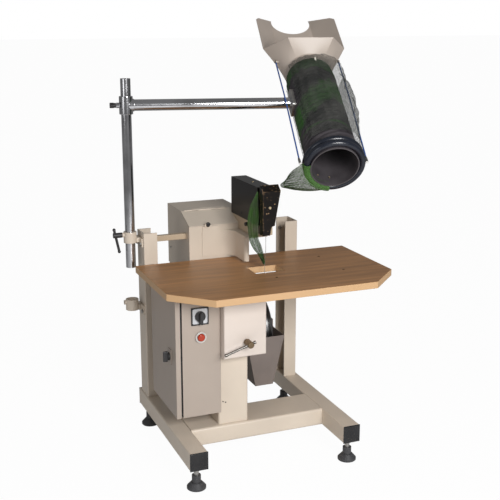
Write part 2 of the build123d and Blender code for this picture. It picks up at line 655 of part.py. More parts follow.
# Black cover of the head, open below and with a window for the ram
ram_half = 10.0
ram_z0 = 792.0
ram_z1 = 878.0
ram_x = head_x0 + 29.0
with BuildPart() as head_cover:
    block(head_x0, head_x1, head_y0, head_y1, head_z0, head_z1)
    fillet(head_cover.edges().filter_by(Axis.Y).group_by(Axis.Z)[-1], 2)
    offset(amount=-sheet, openings=head_cover.faces().sort_by(Axis.Z)[0])
    block(ram_x - ram_half - 2, ram_x + ram_half + 2, head_y0 - 1, head_y0 + 4, ram_z0 - 2, ram_z1 + 2, Mode.SUBTRACT)
    rod((head_x1 - 4, head_y0 + 34, 874), (head_x1 + 1, head_y0 + 34, 874), 2.2 + slip, Mode.SUBTRACT)
save(head_cover.part, "head_cover")

with BuildPart() as head_floor:
    block(head_x0 + sheet, head_x1 - sheet, house_y0, head_y1 - sheet, head_z0, head_z0 + 4)
    block(head_x0 + sheet + 1, head_x1 - sheet - 1, link_y0 + 20, link_y0 + 120, head_z0, ram_z0 - 0.1)
save(head_floor.part, "ram_guide")

# Ram with its link, and the push rod, which slide as one
with BuildPart() as ram:
    block(ram_x - ram_half, ram_x + ram_half, head_y0 + 4, link_y0 + 110, ram_z0, ram_z1)
    chamfer(ram.edges().filter_by(Axis.Z).group_by(Axis.Y)[0], 4)
    block(head_mid_x - 5, ram_x + 4, link_y0, link_y0 + 12, head_z0 + 4, ram_z0)
    block(head_mid_x - 5, head_mid_x + 5, link_y0, link_y0 + 12, push_rod_z + 4, head_z0 + 4)
    rod((head_mid_x, link_y0 - 1, push_rod_z), (head_mid_x, link_y0 + 13, push_rod_z), push_rod_radius, Mode.SUBTRACT)
save(ram.part, "ram")

with BuildPart() as push_rod:
    rod((head_mid_x, head_y0 + 22, push_rod_z), (head_mid_x, crank_y - 14, push_rod_z), push_rod_radius)
    block(crank_x - 14, head_mid_x + 6, crank_y - 14, crank_y - 6, crank_z + 11, crank_z + 22)
    block(crank_x - 14, head_mid_x + 6, crank_y + 6, crank_y + 14, crank_z + 11, crank_z + 22)
    block(crank_x - 22, crank_x - 14, crank_y - 14, crank_y + 14, crank_z + 11, crank_z + 22)
    block(head_mid_x, head_mid_x + 6, crank_y - 14, crank_y + 14, crank_z + 11, crank_z + 22)
save(push_rod.part, "push_rod")

# Front block of the head, with the throat behind it
with BuildPart() as die_block:
    with BuildSketch(Plane.XZ.offset(-block_y1)):
        with BuildLine():
            Polyline(
                (head_x0, block_z0),
                (head_x0 + 26, block_z0),
                (head_x0 + 32, 773),
                (head_x0 + 43, 776),
                (head_x0 + 67, block_z1),
                (head_x0, block_z1),
                close=True,
            )
        make_face()
    extrude(amount=block_thickness)
    with BuildSketch(Plane.YZ.offset(head_x0 - 1)):
        with BuildLine():
            Polyline(
                (block_y0 - 1, block_z1 - 18.6),
                (block_y1, block_z1),
                (block_y1, block_z1 + 1),
                (block_y0 - 1, block_z1 + 1),
                close=True,
            )
        make_face()
    extrude(amount=80, mode=Mode.SUBTRACT)
    fillet(die_block.faces().sort_by(Axis.Y)[0].edges(), 1)
    block(head_x0 + 2, head_x0 + 30, block_y1 - 1, head_y0, block_z0, head_z0 - 2)
    rod((ram_x - 1, block_y1 + 1, 795), (ram_x - 1, block_y1 + 1, 870), 3, Mode.SUBTRACT)
save(die_block.part, "die_block")

# Trigger finger beside the throat
with BuildPart() as trigger_finger:
    block(head_x1 + 0.4, head_x1 + 2.9, block_y1 + 3, head_y0 + 42, 868, 880)
    fillet(trigger_finger.edges().filter_by(Axis.X), 5)
    rod((head_x1 + 0.4, head_y0 + 34, 874), (head_x1 - 7, head_y0 + 34, 874), 2.2)
save(trigger_finger.part, "trigger_finger")

# Mast, a chromed tube closed by two plugs
with BuildPart() as mast:
    with BuildSketch(Plane.XY.offset(mast_z0)):
        with Locations((mast_x, mast_y)):
            Circle(mast_radius)
            Circle(mast_radius - mast_wall, mode=Mode.SUBTRACT)
    extrude(amount=mast_z1 - mast_z0)
    for plug_z, inward in ((mast_z0, 1), (mast_z1, -1)):
        rod((mast_x, mast_y, plug_z), (mast_x, mast_y, plug_z - 3 * inward), mast_radius)
        rod((mast_x, mast_y, plug_z), (mast_x, mast_y, plug_z + 12 * inward), mast_radius - mast_wall)
save(mast.part, "mast")

# Ring clamps on the left upright: one grips the mast, the lower one guides it
clamp_end_x = mast_x - ring_radius - 6.0
for ring_z, label in ((upper_ring_z, "upper_ring_clamp"), (lower_ring_z, "lower_ring_guide")):
    z0 = ring_z - ring_height / 2
    with BuildPart() as ring:
        rod((mast_x, mast_y, z0), (mast_x, mast_y, z0 + ring_height), ring_radius)
        rod((mast_x, mast_y, ring_z + 9), (clamp_end_x, mast_y, ring_z + 9), 8)
        block(mast_x + 10, left_upright_x - 5, mast_y - 10, mast_y + 10, z0, z0 + 16)
        block(left_upright_x - 5, left_upright_x, mast_y - 32, mast_y + 34, z0 - 14, z0 + 16)
        rod((mast_x, mast_y, z0 - 1), (mast_x, mast_y, z0 + ring_height + 1), mast_radius + slip, Mode.SUBTRACT)
        rod((mast_x - mast_radius, mast_y, ring_z + 9), (clamp_end_x - 1, mast_y, ring_z + 9), 4 + slip, Mode.SUBTRACT)
    save(ring.part, label)

# Clamp lever of the mast: hub, screw and cross bar
lever_z = upper_ring_z + 9.0
lever_hub_x = clamp_end_x - 0.4
with BuildPart() as mast_lever:
    rod((lever_hub_x, mast_y, lever_z), (lever_hub_x - 30, mast_y, lever_z), lever_hub_radius)
    rod((lever_hub_x, mast_y, lever_z), (mast_x - mast_radius - 2, mast_y, lever_z), 4)
    rod((lever_hub_x - 27, mast_y, lever_z + 20), (lever_hub_x - 11, mast_y, lever_z - 58), 4.5)
    with Locations((lever_hub_x - 27, mast_y, lever_z + 20), (lever_hub_x - 11, mast_y, lever_z - 58)):
        Sphere(5.5)
save(mast_lever.part, "mast_lever")

# Arm: a tee round the mast and a chromed tube welded to it
heading = (cos(radians(arm_heading)), sin(radians(arm_heading)))


def along_arm(distance, height=0.0):
    """Point on the arm's axis, measured from the mast's axis."""
    return (mast_x + distance * heading[0], mast_y + distance * heading[1], arm_z + height)


arm_end = arm_reach - chute_radius - 12.0
spigot_length = 60.0
tee_radius = 23.0
with BuildPart() as arm:
    rod(along_arm(0, -30), along_arm(0, 30), tee_radius)
    fillet(arm.edges().filter_by(GeomType.CIRCLE), 2)
    rod(along_arm(0), along_arm(-tee_radius - 9), 9)
    rod(along_arm(0), along_arm(tee_radius + 4), arm_radius + 2)
    rod(along_arm(0, -31), along_arm(0, 31), mast_radius + slip, Mode.SUBTRACT)
    rod(along_arm(-mast_radius), along_arm(-tee_radius - 10), 4 + slip, Mode.SUBTRACT)
    rod(along_arm(tee_radius + 3), along_arm(arm_end), arm_radius)
    rod(along_arm(tee_radius + 5), along_arm(arm_end + 1), arm_radius - arm_wall, Mode.SUBTRACT)
save(arm.part, "arm")

arm_knob_start = -tee_radius - 9.4
with BuildPart() as arm_knob:
    rod(along_arm(arm_knob_start), along_arm(-mast_radius - 2), 4)
    rod(along_arm(arm_knob_start), along_arm(arm_knob_start - 16), 8)
    with BuildSketch(Plane(origin=along_arm(arm_knob_start - 8), z_dir=(-heading[0], -heading[1], 0))):
        Ellipse(17, 9)
    extrude(amount=14)
    fillet(arm_knob.faces().sort_by(Axis.X)[0].edges(), 2)
save(arm_knob.part, "arm_knob")

# Chute frame: x across, y up and out of the tube's back, z towards the mouth
tilt = radians(chute_tilt)
mouth_way = (heading[1] * cos(tilt), -heading[0] * cos(tilt), -sin(tilt))
chute_plane = Plane(origin=along_arm(arm_reach), x_dir=(heading[0], heading[1], 0), z_dir=mouth_way)


def in_chute(x, y, z):
    """World position of a point given in the chute's own frame."""
    return chute_plane.from_local_coords(Vector(x, y, z))


with BuildPart() as chute_tube:
    with BuildSketch(chute_plane.offset(chute_back)):
        Circle(chute_radius)
        Circle(chute_radius - chute_wall, mode=Mode.SUBTRACT)
    extrude(amount=chute_mouth - chute_back)
save(chute_tube.part, "chute_tube")

# Saddle on the chute, with a spigot that turns in the end of the arm
with BuildPart() as chute_saddle:
    rod(along_arm(arm_end - spigot_length), along_arm(arm_reach - chute_radius + 12), arm_radius - arm_wall - slip)
    with BuildSketch(Plane(origin=along_arm(arm_end + 0.4), x_dir=mouth_way, z_dir=(heading[0], heading[1], 0))):
        RectangleRounded(84, 60, 8)
    extrude(amount=26)
    rod(in_chute(0, 0, -80), in_chute(0, 0, 80), chute_radius, Mode.SUBTRACT)
save(chute_saddle.part, "chute_saddle")

# Elastic cords that pull the rings back: their hooks, their run and their eyes
hook_z = chute_mouth - 22.0
eye_z = -209.0
eye_y = 24.0
cord_radius = 2.5
cord_lift = arm_radius + cord_radius + 1.0

# Hopper: a collar, a folded funnel and an open trough with a round cut-out
side_x = 150.0
side_y = 30.0
side_z = -282.0
roof_x = 81.0
roof_y = 127.0
roof_z = -206.0
floor_x = 75.0
floor_y = -40.0
rim_run = Vector(0, roof_y - side_y, roof_z - side_z)
rim_step = rim_run.length
floor_step = rim_step * (side_y - floor_y) / (roof_y - side_y)
rim_way = chute_plane.from_local_coords(rim_run) - chute_plane.from_local_coords(Vector(0, 0, 0))
across = Vector(heading[0], heading[1], 0)
rim_plane = Plane(origin=in_chute(0, side_y, side_z), x_dir=across, z_dir=across.cross(rim_way))
end_way = chute_plane.from_local_coords(Vector(0, 1, 1.2)) - chute_plane.from_local_coords(Vector(0, 0, 0))
trough_end = -489.0
cutout_z = -556.0
corner_cut = 20.0
end_plane = Plane(origin=in_chute(0, side_y, trough_end), x_dir=across, z_dir=across.cross(end_way))
floor_plane = Plane(origin=in_chute(0, floor_y, cutout_z), x_dir=across, z_dir=in_chute(0, 1, 0) - in_chute(0, 0, 0))


def rim_outline(inset):
    """Corners of the funnel's wide end, moved in by the wall."""
    return [
        (-roof_x + inset / 2, rim_step - inset),
        (-side_x + 1.3 * inset, 0),
        (-floor_x + inset / 2, -floor_step + inset),
        (floor_x - inset / 2, -floor_step + inset),
        (side_x - 1.3 * inset, 0),
        (roof_x - inset / 2, rim_step - inset),
    ]


with BuildPart() as hopper:
    with BuildSketch(chute_plane.offset(-640)):
        with BuildLine():
            Polyline(
                (-side_x, side_y),
                (-floor_x, floor_y),
                (floor_x, floor_y),
                (side_x, side_y),
                (side_x - 1.7, side_y + 1.8),
                (floor_x - 1, floor_y + hopper_wall),
                (-floor_x + 1, floor_y + hopper_wall),
                (-side_x + 1.7, side_y + 1.8),
                close=True,
            )
        make_face()
    extrude(amount=400)
    with BuildSketch(rim_plane):
        Rectangle(700, 700)
    extrude(amount=400, mode=Mode.SUBTRACT)
    with BuildSketch(end_plane):
        Rectangle(700, 700)
    extrude(amount=-400, mode=Mode.SUBTRACT)
    with BuildSketch(floor_plane.offset(-20)):
        Circle(floor_x - 0.5)
    extrude(amount=40, mode=Mode.SUBTRACT)
    corner_y = cutout_z - trough_end
    corner_end_y = corner_y + 1.2 * corner_cut
    with BuildSketch(floor_plane.offset(side_y - floor_y - corner_cut - 4)):
        for side in (-1, 1):
            Polygon(
                (side * (side_x + 2), corner_y - corner_cut),
                (side * (side_x - corner_cut), corner_end_y),
                (side * (side_x + 2), corner_end_y),
                align=None,
            )
    extrude(amount=corner_cut + 8, mode=Mode.SUBTRACT)
    with BuildSketch(chute_plane.offset(chute_back)):
        Circle(chute_radius + hopper_wall + 0.2)
    with BuildSketch(rim_plane):
        Polygon(*rim_outline(0), align=None)
    loft(ruled=True)
    with BuildSketch(chute_plane.offset(chute_back + 0.01)):
        Circle(chute_radius + 0.2)
    with BuildSketch(rim_plane.offset(-0.01)):
        Polygon(*rim_outline(hopper_wall), align=None)
    loft(ruled=True, mode=Mode.SUBTRACT)
    with BuildSketch(chute_plane.offset(chute_back)):
        Circle(chute_radius + hopper_wall + 0.2)
        Circle(chute_radius, mode=Mode.SUBTRACT)
    extrude(amount=24)
    for side in (-1, 1):
        rod(in_chute(side * 104.5, eye_y, eye_z), in_chute(side * 119, eye_y, eye_z), 4)
save(hopper.part, "hopper")

# Rubber rings at the mouth that brake the net
with BuildPart() as brake_rings:
    for ring_at in (chute_mouth - 11, chute_mouth - 11 - 2 * brake_radius - 0.2):
        with Locations(chute_plane.offset(ring_at)):
            Torus(brake_centre, brake_radius)
save(brake_rings.part, "brake_rings")

# Hooks on the rings, and the elastic cords, which pass over the arm
with BuildPart() as elastic_hooks:
    for side in (-1, 1):
        rod(in_chute(side * 100.5, 0, hook_z), in_chute(side * 113, 0, hook_z), 2.5)
        rod(in_chute(side * 110, 1, hook_z), in_chute(side * 110.2, 2, hook_z - 16), 4)
save(elastic_hooks.part, "elastic_hooks")

with BuildPart() as elastic_cords:
    for side in (-1, 1):
        with BuildLine() as cord_line:
            FilletPolyline(
                in_chute(side * 110.2, 2, hook_z - 16.4),
                in_chute(side * 112, cord_lift, 0),
                in_chute(side * 114, eye_y, eye_z + 4.4),
                radius=600,
            )
        with BuildSketch(Plane(origin=cord_line.line @ 0, z_dir=cord_line.line % 0)):
            Circle(cord_radius)
        sweep()
save(elastic_cords.part, "elastic_cords")

# Net: rucked on the tube, drawn to the throat, and hanging at the head
net_gap = 0.3
with BuildPart() as net_sleeve:
    with BuildSketch(chute_plane.offset(-145)):
        Circle(chute_radius + 5)
        Circle(chute_radius + net_gap, mode=Mode.SUBTRACT)
    extrude(amount=chute_mouth - 43.5 + 145)
    rod(in_chute(0, 0, 0), in_chute(-130, 0, 0), 53, Mode.SUBTRACT)
save(net_sleeve.part, "net_sleeve")

tail_start = in_chute(-86, -82, chute_mouth - 8)
tail_end = Vector(rail_left_x + 436, rail_front_y + 290, 905)
tail_way = tail_end - tail_start
tail_across = in_chute(0.69, -0.72, 0) - in_chute(0, 0, 0)
with BuildPart() as net_tail:
    with BuildSketch(Plane(origin=tail_start, x_dir=tail_across, z_dir=tail_way)):
        Ellipse(44, 9)
    with BuildSketch(Plane(origin=tail_end, x_dir=tail_across, z_dir=tail_way)):
        Ellipse(9, 6)
    loft()
save(net_tail.part, "net_tail")

hang_x1 = head_x0 - 1.0
with BuildPart() as net_hang:
    block(hang_x1 - 6, head_x0 + 70, block_y1 + 4, head_y0 - 4, 884, 897)
    with BuildSketch(Plane.YZ.offset(hang_x1)):
        with BuildLine():
            Polyline(
                (block_y1 + 4, 897),
                (head_y0 - 4, 897),
                (head_y0 + 70, 806),
                (head_y0 + 62, 724),
                (block_y1 + 26, 722),
                (block_y1 + 22, 694),
                (block_y1 + 6, 694),
                close=True,
            )
        make_face()
    extrude(amount=-13)
save(net_hang.part, "net_hang")

# Bin for the wire reel, with the bracket that holds it and the axle across it
bin_x0 = rail_left_x + 300.0
bin_x1 = rail_left_x + 442.0
bin_y0 = reel_y - 126.0
bin_y1 = reel_y + 126.0
bin_top_z = 380.0
bin_bottom_z = 200.0
bin_mid_x = (bin_x0 + bin_x1) / 2
with BuildPart() as reel_bin:
    with BuildSketch(Plane.XY.offset(bin_bottom_z)):
        with Locations((bin_mid_x, reel_y)):
            Rectangle(bin_x1 - bin_x0 - 76, bin_y1 - bin_y0 - 24)
    with BuildSketch(Plane.XY.offset(bin_top_z)):
        with Locations((bin_mid_x, reel_y)):
            Rectangle(bin_x1 - bin_x0, bin_y1 - bin_y0)
    loft()
    offset(amount=-2, openings=reel_bin.faces().sort_by(Axis.Z)[-1])
    for ear_x in (bin_x0 - 3, bin_x1):
        block(ear_x, ear_x + 3, reel_y - 18, reel_y + 18, bin_top_z - 12, reel_z + 20)
        block(ear_x - 1, ear_x + 4, reel_y - 18, reel_y + 18, bin_top_z - 12, bin_top_z)
    rod((bin_x0 - 3, reel_y, reel_z), (bin_x1 + 3, reel_y, reel_z), axle_radius)
    block(column_x1, bin_x0 + 1, column_y1 - 50, column_y1 + 60, bin_top_z - 30, bin_top_z - 22)
save(reel_bin.part, "reel_bin")

# Reel: two flanges on a core, and the wire wound on it
flange = 3.0
reel_x1 = reel_x0 + reel_width
with BuildPart() as wire_reel:
    rod((reel_x0, reel_y, reel_z), (reel_x1, reel_y, reel_z), core_radius)
    for x in (reel_x0, reel_x1 - flange):
        rod((x, reel_y, reel_z), (x + flange, reel_y, reel_z), reel_radius)
    rod((reel_x0 - 1, reel_y, reel_z), (reel_x1 + 1, reel_y, reel_z), axle_radius + slip, Mode.SUBTRACT)
save(wire_reel.part, "wire_reel")

with BuildPart() as wire_coil:
    rod((reel_x0 + flange, reel_y, reel_z), (reel_x1 - flange, reel_y, reel_z), coil_radius)
    rod((reel_x0, reel_y, reel_z), (reel_x1, reel_y, reel_z), core_radius, Mode.SUBTRACT)
save(wire_coil.part, "wire_coil")

# Clip wire from the reel through the slot to the head
wire_x = reel_x0 + 28.0
wire_y = reel_y - coil_radius - wire_radius - 0.4
wire_route = [
    (wire_x, wire_y, reel_z + 6),
    (wire_x, wire_y, reel_z + 120),
    (wire_x - 4, block_y0 + 16, block_z0 - 60),
    (wire_x - 4, block_y0 + 16, block_z0),
]
wire_bends = [300, 200]
with BuildPart() as clip_wire:
    with BuildLine() as wire_line:
        FilletPolyline(*wire_route, radius=wire_bends)
    with BuildSketch(Plane(origin=wire_line.line @ 0, z_dir=wire_line.line % 0)):
        Circle(wire_radius)
    sweep()
save(clip_wire.part, "clip_wire")
print("wire length", round(sum(edge.length for edge in wire_line.edges()), 1), "bend radii", wire_bends)
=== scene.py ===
from math import cos, pi, radians, sin

import bmesh
import bpy
from mathutils import Matrix, Vector, noise


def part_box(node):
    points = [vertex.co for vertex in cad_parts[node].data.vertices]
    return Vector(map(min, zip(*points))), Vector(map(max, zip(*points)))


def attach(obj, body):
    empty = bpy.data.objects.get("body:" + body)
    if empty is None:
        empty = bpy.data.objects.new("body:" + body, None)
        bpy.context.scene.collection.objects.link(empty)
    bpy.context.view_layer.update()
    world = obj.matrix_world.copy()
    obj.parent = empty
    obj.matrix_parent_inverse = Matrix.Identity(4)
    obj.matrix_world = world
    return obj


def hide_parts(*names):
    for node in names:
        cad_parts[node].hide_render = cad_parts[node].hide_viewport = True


# Net clipping machine: finishes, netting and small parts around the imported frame.
# Lengths are in metres, in the frame of the CAD model.

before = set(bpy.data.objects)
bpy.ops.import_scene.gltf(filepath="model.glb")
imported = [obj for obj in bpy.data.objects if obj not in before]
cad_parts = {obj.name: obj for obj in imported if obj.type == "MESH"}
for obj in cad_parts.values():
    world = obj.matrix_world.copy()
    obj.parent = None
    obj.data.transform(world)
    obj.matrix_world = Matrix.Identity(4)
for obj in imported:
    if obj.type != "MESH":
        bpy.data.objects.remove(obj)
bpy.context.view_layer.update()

# Where the stand begins: the outer face of its left rail and the front of its rails
stand_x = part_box("left_rail")[0][0]
stand_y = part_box("left_rail")[0][1]

# Camera, measured from the stand's corner
camera_place = (-0.8257, -2.5430, 1.4563)
camera_yaw = 0.384
camera_pitch = 0.245
camera_lens = 67.35

# Mast, arm and chute
mast_x = stand_x - 0.0315
mast_y = stand_y + 0.5265
arm_z = 1.168
arm_heading = radians(-13.5)
arm_reach = 0.6488
chute_tilt = radians(31.8)
chute_radius = 0.080

# Floor, backdrop and lamps
floor_size = 120
floor_whiteness = 0.97
studio_level = 0.22
lamp_target = (0, 0, 0.7)


def select_only(piece):
    """Select one object and make it the active one."""
    bpy.ops.object.select_all(action="DESELECT")
    piece.select_set(True)
    bpy.context.view_layer.objects.active = piece


def apply_modifiers(piece):
    """Apply every modifier of a piece."""
    select_only(piece)
    for modifier in list(piece.modifiers):
        bpy.ops.object.modifier_apply(modifier=modifier.name)


def apply_place(piece):
    """Put a piece's place, turn and size into its mesh."""
    select_only(piece)
    bpy.ops.object.transform_apply(location=True, rotation=True, scale=True)


def at_stand(x, y, z):
    """Point given in millimetres from the stand's corner."""
    return Vector((stand_x + x / 1000, stand_y + y / 1000, z / 1000))


# Chute frame: x across, y up and out of the tube's back, z towards the mouth
across = Vector((cos(arm_heading), sin(arm_heading), 0))
down_chute = Vector((sin(arm_heading) * cos(chute_tilt),
                     -cos(arm_heading) * cos(chute_tilt),
                     -sin(chute_tilt)))
off_chute = down_chute.cross(across)
chute_centre = Vector((mast_x, mast_y, arm_z)) + arm_reach * across


def in_chute(x, y, z):
    """Point given in the chute's own frame."""
    return chute_centre + x * across + y * off_chute + z * down_chute


# ---- Materials


def start_material(name, colour, roughness, metallic=0.0):
    """New material with its shader's plain values set; gives (material, node tree, shader)."""
    material = bpy.data.materials.new(name)
    material.use_nodes = True
    tree = material.node_tree
    shader = tree.nodes["Principled BSDF"]
    shader.inputs["Base Color"].default_value = (*colour, 1)
    shader.inputs["Roughness"].default_value = roughness
    shader.inputs["Metallic"].default_value = metallic
    return material, tree, shader


def feed(tree, source, socket):
    """Link a socket to another node's output, or set it to a plain value."""
    if isinstance(source, bpy.types.NodeSocket):
        tree.links.new(source, socket)
    else:
        socket.default_value = source


def worked_out(tree, operation, first, second):
    """Result of a sum or comparison of two values."""
    step = tree.nodes.new("ShaderNodeMath")
    step.operation = operation
    feed(tree, first, step.inputs[0])
    feed(tree, second, step.inputs[1])
    return step.outputs["Value"]


def rescaled(tree, source, old=(0.0, 1.0), new=(0.0, 1.0)):
    """Value carried over from an old range to a new one."""
    spread = tree.nodes.new("ShaderNodeMapRange")
    spread.inputs["From Min"].default_value = old[0]
    spread.inputs["From Max"].default_value = old[1]
    spread.inputs["To Min"].default_value = new[0]
    spread.inputs["To Max"].default_value = new[1]
    tree.links.new(source, spread.inputs["Value"])
    return spread.outputs["Result"]


def mixed(tree, share, first, second, blend_type="MIX"):
    """Colour mixed from two others."""
    mix = tree.nodes.new("ShaderNodeMix")
    mix.data_type = "RGBA"
    mix.blend_type = blend_type
    feed(tree, share, mix.inputs["Factor"])
    feed(tree, first, mix.inputs["A"])
    feed(tree, second, mix.inputs["B"])
    return mix.outputs["Result"]


def mottle(tree, scale, detail, stretch=(1, 1, 1)):
    """Noise over the piece's own coordinates."""
    place = tree.nodes.new("ShaderNodeTexCoord")
    turn = tree.nodes.new("ShaderNodeMapping")
    turn.inputs["Scale"].default_value = stretch
    spots = tree.nodes.new("ShaderNodeTexNoise")
    spots.inputs["Scale"].default_value = scale
    spots.inputs["Detail"].default_value = detail
    tree.links.new(place.outputs["Object"], turn.inputs["Vector"])
    tree.links.new(turn.outputs["Vector"], spots.inputs["Vector"])
    return spots.outputs["Fac"]


def shade_between(tree, source, low, high, start=0.35, end=0.65):
    """Colour that goes from low to high while a value goes from start to end."""
    ramp = tree.nodes.new("ShaderNodeValToRGB")
    ramp.color_ramp.elements[0].position = start
    ramp.color_ramp.elements[0].color = (*low, 1)
    ramp.color_ramp.elements[1].position = end
    ramp.color_ramp.elements[1].color = (*high, 1)
    tree.links.new(source, ramp.inputs["Fac"])
    return ramp.outputs["Color"]


def rounded_normal(tree, radius, samples):
    """Direction of the surface as if its edges were rounded."""
    edges = tree.nodes.new("ShaderNodeBevel")
    edges.inputs["Radius"].default_value = radius
    edges.samples = samples
    return edges.outputs["Normal"]


def roughen(tree, shader, source, low, high):
    """Let the roughness follow a value between two limits."""
    tree.links.new(rescaled(tree, source, new=(low, high)), shader.inputs["Roughness"])


def emboss(tree, shader, source, strength, height):
    """Bump a surface by a value, over softly rounded edges."""
    bump = tree.nodes.new("ShaderNodeBump")
    bump.inputs["Strength"].default_value = strength
    bump.inputs["Distance"].default_value = height
    tree.links.new(source, bump.inputs["Height"])
    tree.links.new(rounded_normal(tree, radius=0.0012, samples=4), bump.inputs["Normal"])
    tree.links.new(bump.outputs["Normal"], shader.inputs["Normal"])


def darker(colour, share):
    """The colour times a share."""
    return tuple(share * value for value in colour)


def painted_metal(name, colour, gloss=0.35, wear=0.90):
    """Sprayed paint: faint clouds of tone, a finely dimpled skin and uneven gloss."""
    material, tree, shader = start_material(name, colour, gloss)
    clouds = mottle(tree, scale=5.0, detail=6.0)
    dimples = mottle(tree, scale=420.0, detail=2.0)
    tone = shade_between(tree, clouds, darker(colour, wear), colour)
    tree.links.new(tone, shader.inputs["Base Color"])
    roughen(tree, shader, clouds, gloss * 0.8, gloss * 1.25)
    emboss(tree, shader, dimples, strength=0.10, height=0.0004)
    return material


def bare_metal(name, colour, roughness, stretch=(1, 1, 1)):
    """Metal with drawn or turned streaks and a few dull patches."""
    material, tree, shader = start_material(name, colour, roughness, metallic=1.0)
    lines = mottle(tree, scale=180.0, detail=3.0, stretch=stretch)
    patches = mottle(tree, scale=14.0, detail=5.0)
    tone = shade_between(tree, patches, darker(colour, 0.72), colour)
    tree.links.new(tone, shader.inputs["Base Color"])
    roughen(tree, shader, patches, roughness * 0.6, roughness * 1.6)
    emboss(tree, shader, lines, strength=0.12, height=0.0003)
    return material


def moulded_plastic(name, colour, roughness):
    """Moulded plastic or rubber with a fine grain and a little dust."""
    material, tree, shader = start_material(name, colour, roughness)
    grain = mottle(tree, scale=700.0, detail=2.0)
    dust = mottle(tree, scale=22.0, detail=5.0)
    dusty = tuple(min(1, 1.3 * value + 0.004) for value in colour)
    tree.links.new(shade_between(tree, dust, colour, dusty), shader.inputs["Base Color"])
    roughen(tree, shader, dust, roughness * 0.8, roughness * 1.3)
    emboss(tree, shader, grain, strength=0.15, height=0.0003)
    return material


def oak_laminate():
    """Brown oak laminate: long grain along x on top, pale edge band round it."""
    edge_band = (0.56, 0.35, 0.18, 1)
    material, tree, shader = start_material("oak_laminate", (0.23, 0.16, 0.10), 0.42)
    fibres = mottle(tree, scale=60.0, detail=6.0, stretch=(0.07, 1, 1))
    planks = mottle(tree, scale=9.0, detail=3.0, stretch=(0.12, 1, 1))
    grain = shade_between(tree, fibres, (0.330, 0.160, 0.060), (0.545, 0.275, 0.115), 0.3, 0.7)
    bands = shade_between(tree, planks, (0.80, 0.80, 0.80), (1.0, 0.99, 0.97))
    facing = tree.nodes.new("ShaderNodeNewGeometry")
    parts = tree.nodes.new("ShaderNodeSeparateXYZ")
    tree.links.new(facing.outputs["Normal"], parts.inputs["Vector"])
    on_top = worked_out(tree, "GREATER_THAN", parts.outputs["Z"], 0.75)
    board = mixed(tree, 1.0, grain, bands, "MULTIPLY")
    tree.links.new(mixed(tree, on_top, edge_band, board), shader.inputs["Base Color"])
    roughen(tree, shader, fibres, 0.34, 0.55)
    emboss(tree, shader, fibres, strength=0.08, height=0.0003)
    return material


def chipped_paint_with_edge_highlight(name, colour, bare_and_highlight, flecked=False):
    """Glossy dark paint, paler along its edges, partly as rubbed bare metal and partly as a painted edge
    highlight, and, if flecked, chipped on its faces.
    """
    material = painted_metal(name, colour, gloss=0.28, wear=0.6)
    tree = material.node_tree
    shader = tree.nodes["Principled BSDF"]
    shader.inputs["Specular IOR Level"].default_value = 0.22
    paint = shader.inputs["Base Color"].links[0].from_socket
    facing = tree.nodes.new("ShaderNodeNewGeometry")
    match = tree.nodes.new("ShaderNodeVectorMath")
    match.operation = "DOT_PRODUCT"
    tree.links.new(rounded_normal(tree, radius=0.003, samples=6), match.inputs[0])
    tree.links.new(facing.outputs["Normal"], match.inputs[1])
    # Painted edge highlight: every edge takes the bare colour in patches, for rubbed paint and also for the
    # light caught along each edge.
    rubbed_and_highlit_edge = rescaled(tree, match.outputs["Value"], old=(0.99, 0.90))
    edge_patches = rescaled(tree, mottle(tree, scale=55.0, detail=6.0), old=(0.46, 0.56))
    bare_and_highlit = worked_out(tree, "MULTIPLY", rubbed_and_highlit_edge, edge_patches)
    if flecked:
        chips = rescaled(tree, mottle(tree, scale=130.0, detail=3.0), old=(0.665, 0.700))
        bare_and_highlit = worked_out(tree, "MAXIMUM", bare_and_highlit, chips)
    tree.links.new(mixed(tree, bare_and_highlit, paint, (*bare_and_highlight, 1)), shader.inputs["Base Color"])
    return material


def knitted_net(name, dark, light, openness, fineness=420.0, green=(0.034, 0.125, 0.018),
                thread=(0.05, 0.16)):
    """Knitted netting on the sheet's own UV map: threads, patches of colour and green where tinted.

    With openness above 0 its meshes are open: thread gives where a thread starts to thin and where it ends.
    """
    material, tree, shader = start_material(name, light, 0.75)
    sheet_place = tree.nodes.new("ShaderNodeUVMap")
    sheet_place.uv_map = "knit"
    threads = tree.nodes.new("ShaderNodeTexVoronoi")
    threads.inputs["Scale"].default_value = fineness
    threads.feature = "DISTANCE_TO_EDGE"
    tree.links.new(sheet_place.outputs["UV"], threads.inputs["Vector"])
    plain = shade_between(tree, mottle(tree, scale=16.0, detail=6.0), dark, light, 0.42, 0.60)
    tinted = tree.nodes.new("ShaderNodeAttribute")
    tinted.attribute_name = "tint"
    tree.links.new(mixed(tree, tinted.outputs["Fac"], plain, (*green, 1)), shader.inputs["Base Color"])
    if openness > 0:
        holes = rescaled(tree, threads.outputs["Distance"], old=thread, new=(1.0, 1.0 - openness))
        tree.links.new(holes, shader.inputs["Alpha"])
    emboss(tree, shader, threads.outputs["Distance"], strength=0.6, height=0.0012)
    return material


